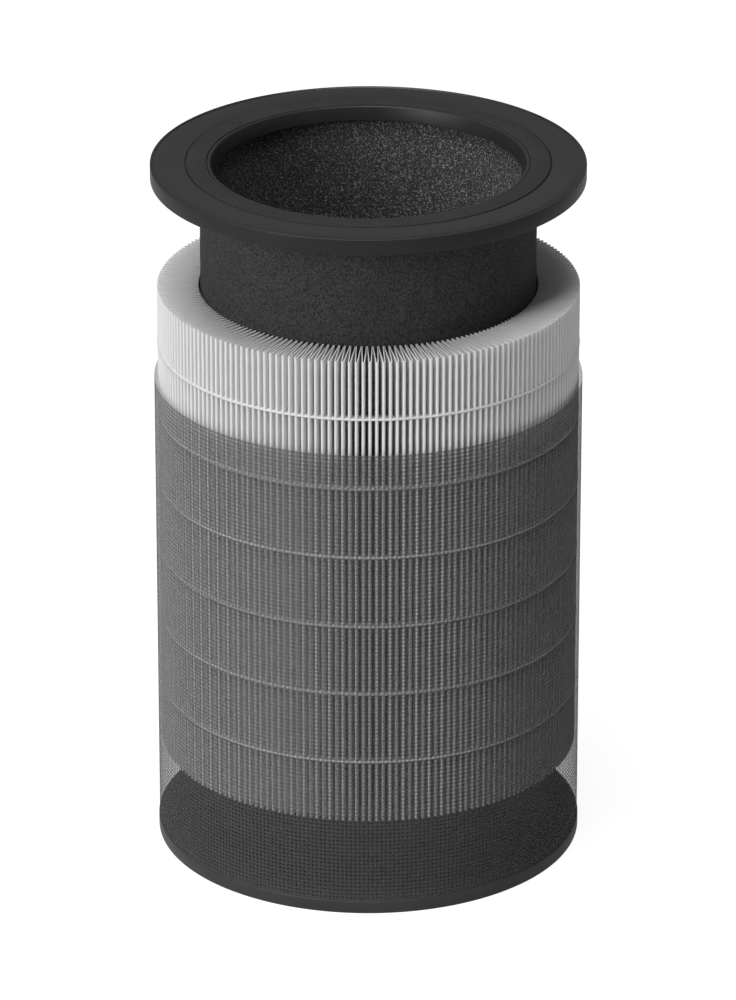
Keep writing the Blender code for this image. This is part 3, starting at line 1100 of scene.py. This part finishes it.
@dataclass
class PleatedPack:
    """The white paper folded into one closed pack, and the glue threads that hold its folds apart."""

    node: str = "pleated_media"
    pleats: int = 197
    depth: float = 0.0198
    paper: float = 0.00045
    outer_fold_width: float = 0.00142
    outer_corner: float = 0.00040
    inner_fold_width: float = 0.00090
    crown_share: float = 0.01
    wall_shares: tuple[float, float] = (0.33, 0.67)
    rows: int = 10
    weld: float = 0.00001
    wander: float = 0.00010
    wander_size: float = 0.018
    seed: float = 3.0
    bead_count: int = 6
    bead_height: float = 0.0009
    bead_lift: float = 0.0010
    bead_proud: float = 0.00026
    inner_bead_proud: float = 0.00030
    bead_sag: float = 0.30
    bead_side: float = 0.15
    bead_flat: float = 0.45
    bead_bite: float = 0.4
    bead_wander: float = 0.00012
    bead_wander_size: float = 0.006
    bead_seed: float = 10.0
    web_depth: float = 0.0055

    def _half_section(self, radius: float) -> list[Point]:
        """Draws the middle of the paper over half a pleat.

        Args:
            radius: The pack's outer radius.

        Returns:
            Points as (along the pleat's middle line, across it), from the inner fold to the outer one.
        """
        half_turn = math.pi / self.pleats
        outer = radius - 0.5 * self.paper
        inner = radius - self.depth + 0.5 * self.paper
        bend = 0.5 * (self.inner_fold_width - self.paper)
        side = 0.5 * (self.outer_fold_width - self.paper)
        valley = inner * math.tan(half_turn)
        foot = (inner + bend, valley - bend)
        start = (outer - self.outer_corner, side)
        points = [
            (inner * math.cos(half_turn), inner * math.sin(half_turn)),
            (inner + CORNER_SHARE * bend, valley - (1.0 - CORNER_SHARE) * bend),
            foot,
        ]
        for share in self.wall_shares:
            points.append((foot[0] + share * (start[0] - foot[0]), foot[1] + share * (start[1] - foot[1])))
        points += [
            start,
            (outer - CORNER_SHARE * self.outer_corner, side - CORNER_SHARE * self.outer_corner),
            (outer - self.crown_share * self.outer_corner, side - self.outer_corner),
            (outer, 0.0),
        ]
        return points

    def _pleat(self, low: Vector, high: Vector) -> Mesh:
        """Makes the middle surface of one pleat, from one inner fold to the next."""
        half = self._half_section(high.x)
        line = [(along, -across) for along, across in half] + half[-2::-1]
        levels = [low.z + (high.z - low.z) * row / self.rows for row in range(self.rows + 1)]
        return swept("pleat", [[(along, across, level) for along, across in line] for level in levels])

    def _glue(self, radius: float, level: float, outwards: bool) -> Mesh:
        """Makes one pleat's length of a glue thread, with the web that runs into the valley beside it.

        Args:
            radius: The radius of the folds that the thread lies on.
            level: The thread's level.
            outwards: True for a thread on the outer folds, False for one on the inner folds.

        Returns:
            The length of thread, open at both ends, from the middle of one valley to that of the next.
        """
        way = 1.0 if outwards else -1.0
        step = 2.0 * math.pi / self.pleats
        pitch = step * radius
        fold = self.outer_fold_width if outwards else self.inner_fold_width
        proud = self.bead_proud if outwards else self.inner_bead_proud
        face = 0.5 * (pitch - fold) / pitch
        inside_paper = face + 0.5 * self.paper / pitch
        half = 0.5 * self.bead_height
        flat = self.bead_flat * half
        lines = []
        for share in (0.0, face, inside_paper, 0.5, 1.0 - inside_paper, 1.0 - face, 1.0):
            sag = self.bead_sag * proud if share in (0.0, 1.0) else 0.0
            crown = radius + way * (proud - sag)
            side = radius + way * self.bead_side * proud
            in_valley = share <= face or share >= 1.0 - face
            foot = radius - way * (self.web_depth if in_valley else self.bead_bite * self.paper)
            angle = (share - 0.5) * step
            upper = [(crown, flat), (side, half), (foot, flat)]
            section = [(r, -up) for r, up in reversed(upper)] + upper
            lines.append([(r * math.cos(angle), r * math.sin(angle), level + up) for r, up in section])
        return swept("glue_length", lines, closed=True, flipped=not outwards)

    def build(self, shop: Workshop) -> None:
        """Grows the pack and its glue threads and puts them in place of their CAD nodes."""
        low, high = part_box(self.node)
        repeat = shop.growers.round_repeat
        pack = repeat.grown(
            "folded_paper_pack", self._pleat(low, high), shop.materials[Slot.PAPER], wall=self.paper,
            Count=self.pleats, Weld=self.weld, Wander=self.wander, Wander_Size=self.wander_size,
            Seed=self.seed,
        )
        shop.finish(shaded(pack, FOLD_ANGLE), Slot.PAPER, [self.node])
        for outwards, side in ((True, "outer"), (False, "inner")):
            radius = high.x if outwards else high.x - self.depth
            for number in range(1, self.bead_count + 1):
                node = f"{side}_bead_{number}"
                bead_low, bead_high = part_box(node)
                level = 0.5 * (bead_low.z + bead_high.z) + self.bead_lift
                glue = repeat.grown(
                    f"{side}_glue_thread_{number}", self._glue(radius, level, outwards),
                    shop.materials[Slot.GLUE], Count=self.pleats, Weld=self.weld, Wander=self.bead_wander,
                    Wander_Size=self.bead_wander_size, Seed=self.bead_seed + number,
                )
                shop.finish(shaded(glue, FOLD_ANGLE), Slot.GLUE, [node])


@dataclass
class NetSleeve:
    """The see-through net round the pack, with its lapped and welded seam at the back."""

    node: str = "prefilter_mesh"
    columns: int = 310
    rows: int = 116
    hoop_steps: int = 155
    radius: float = 0.10164
    hoop_radius: float = 0.10170
    margin: float = 0.0004
    upright_width: float = 0.00124
    hoop_width: float = 0.00120
    depth: float = 0.00007
    seam_width: float = 0.0080
    seam_thickness: float = 0.00022
    seam_radius: float = 0.10196
    seam_columns: int = 12
    seam_press: float = 0.00006

    def _seam(self, low: Vector, high: Vector) -> Mesh:
        """Makes the welded strip that closes the net at the back, as a thin bent bar with pressed ribs."""
        columns, rows = self.seam_columns, 2 * self.rows
        half = 0.5 * self.seam_width / self.seam_radius
        shape = bmesh.new()
        make = shape.faces.new
        sheets = []
        for side in (0.0, -self.seam_thickness):
            grid = []
            for row in range(rows + 1):
                level = low.z + (high.z - low.z) * row / rows
                line = []
                for column in range(columns + 1):
                    angle = 0.5 * math.pi + half * (2.0 * column / columns - 1.0)
                    pressed = side == 0.0 and row % 2 == 1 and 0 < column < columns
                    radius = self.seam_radius + side - (self.seam_press if pressed else 0.0)
                    line.append(shape.verts.new((radius * math.cos(angle), radius * math.sin(angle), level)))
                grid.append(line)
            sheets.append(grid)
        front, back = sheets
        for grid in sheets:
            for row in range(rows):
                here, above = grid[row], grid[row + 1]
                for column in range(columns):
                    make((here[column], here[column + 1], above[column + 1], above[column]))
        for row in range(rows):
            for side in (0, columns):
                make((front[row][side], front[row + 1][side], back[row + 1][side], back[row][side]))
        for column in range(columns):
            for end in (0, rows):
                make((front[end][column], front[end][column + 1], back[end][column + 1], back[end][column]))
        bmesh.ops.recalc_face_normals(shape, faces=shape.faces)
        return kept(shape, "net_seam_strip")

    def build(self, shop: Workshop) -> None:
        low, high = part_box(self.node)
        net = shop.growers.net.grown(
            "net_sleeve", bpy.data.meshes.new("net_start"), shop.materials[Slot.NET], Columns=self.columns,
            Rows=self.rows, Hoop_Steps=self.hoop_steps, Radius=self.radius, Hoop_Radius=self.hoop_radius,
            Bottom=low.z, Height=high.z - low.z, Margin=self.margin, Upright_Width=self.upright_width,
            Hoop_Width=self.hoop_width, Depth=self.depth,
        )
        seam = linked("net_seam_strip", self._seam(low, high))
        shop.finish(shaded(net, THREAD_ANGLE), Slot.NET, [self.node])
        shop.finish(shaded(seam), Slot.NET)


# Camera and studio


@dataclass(frozen=True)
class Viewpoint:
    """The camera, where the photograph was taken from."""

    place: Place = (-0.000183, -3.000, 1.4741)
    tilt: float = math.radians(66.505)
    lens: float = 163.87
    sensor_height: float = 24.0
    farthest: float = 100.0

    def build(self) -> None:
        """Creates the camera and makes it the scene's own."""
        data = bpy.data.cameras.new("photo_camera")
        data.sensor_fit = "VERTICAL"
        data.sensor_height = self.sensor_height
        data.lens = self.lens
        data.clip_end = self.farthest
        camera = bpy.data.objects.new("photo_camera", data)
        camera.location = self.place
        camera.rotation_euler = (self.tilt, 0.0, 0.0)
        bpy.context.scene.collection.objects.link(camera)
        bpy.context.scene.camera = camera


@dataclass(frozen=True)
class SoftLamp:
    """A square lamp that shines on the object through a wide diffuser."""

    name: str
    place: Place
    aim: Place
    size: float
    power: float

    def build(self) -> None:
        """Hangs the lamp and hides it from the camera."""
        data = bpy.data.lights.new(self.name, "AREA")
        data.shape = "SQUARE"
        data.size = self.size
        data.energy = self.power
        lamp = bpy.data.objects.new(self.name, data)
        lamp.location = self.place
        lamp.rotation_euler = (Vector(self.aim) - Vector(self.place)).to_track_quat("-Z", "Y").to_euler()
        lamp.visible_camera = False
        bpy.context.scene.collection.objects.link(lamp)


@dataclass(frozen=True)
class Studio:
    """A pale floor, a white surround and soft lamps."""

    floor_radius: float = 12.0
    floor_sides: int = 96
    floor_glow: float = 0.86
    floor_color: float = 0.25
    bounce_color: float = 0.60
    surround: float = 0.17
    mirrored: float = 0.12
    backdrop: float = 1.0
    lamps: tuple[SoftLamp, ...] = (
        SoftLamp("key_lamp", (-1.80, -1.70, 1.22), (0.0, 0.0, 0.17), 1.1, 37.0),
        SoftLamp("top_lamp", (-0.28, -0.45, 2.5), (0.0, 0.0, 0.2), 1.6, 61.0),
    )

    def build(self) -> None:
        """Sets the colours' handling, the surround, the floor and the lamps."""
        bpy.context.scene.view_settings.view_transform = "Standard"
        self._surround()
        self._floor()
        for lamp in self.lamps:
            lamp.build()

    def _seen_directly(self, work: NodeBuilder) -> NodeSocket:
        """Returns how much of the backdrop shows: all to the camera and a share of it in reflections."""
        rays = work.add("ShaderNodeLightPath").outputs
        straight = work.math("MAXIMUM", rays["Is Camera Ray"], rays["Is Transmission Ray"])
        return work.math("MAXIMUM", straight, work.math("MULTIPLY", rays["Is Glossy Ray"], self.mirrored))

    def _surround(self) -> None:
        """Makes the world white to look at and plain grey as a light."""
        world = bpy.data.worlds.new("white_surround")
        work = NodeBuilder(emptied(world))
        strength = work.spread(self._seen_directly(work), 0.0, 1.0, self.surround, self.backdrop)
        light = work.add("ShaderNodeBackground", {"Color": grey(1.0), "Strength": strength})
        work.add("ShaderNodeOutputWorld", {"Surface": light.outputs["Background"]})
        bpy.context.scene.world = world

    def _floor(self) -> None:
        """Lays the floor, which shows white with the object's faint shadow."""
        shape = bmesh.new()
        bmesh.ops.create_circle(shape, cap_ends=True, segments=self.floor_sides, radius=self.floor_radius)
        floor = linked("pale_floor", kept(shape, "pale_floor"))
        material = bpy.data.materials.new("pale_floor")
        work = NodeBuilder(emptied(material))
        shown = work.add("ShaderNodeBsdfDiffuse", {"Color": grey(self.floor_color)})
        glow = work.add("ShaderNodeEmission", {"Color": grey(1.0), "Strength": self.floor_glow})
        white = work.add("ShaderNodeAddShader", {0: shown.outputs["BSDF"], 1: glow.outputs["Emission"]})
        bounce = work.add("ShaderNodeBsdfDiffuse", {"Color": grey(self.bounce_color)})
        seen = self._seen_directly(work)
        kinds = {0: seen, 1: bounce.outputs["BSDF"], 2: white.outputs["Shader"]}
        both = work.add("ShaderNodeMixShader", kinds)
        work.add("ShaderNodeOutputMaterial", {"Surface": both.outputs["Shader"]})
        floor.data.materials.append(material)


def main() -> None:
    """Builds the camera, the studio and every sub-assembly in order, and reports each piece."""
    logging.basicConfig(level=logging.INFO, format="%(name)s: %(message)s")
    Viewpoint().build()
    Studio().build()
    shop = Workshop()
    for assembly in (BottomCap(), EndRing(), CarbonSleeve(), PleatedPack(), NetSleeve()):
        assembly.build(shop)
    LOG.info("%d pieces, %d faces", len(shop.finished), sum(len(p.data.polygons) for p in shop.finished))


if __name__ == "__main__":
    main()
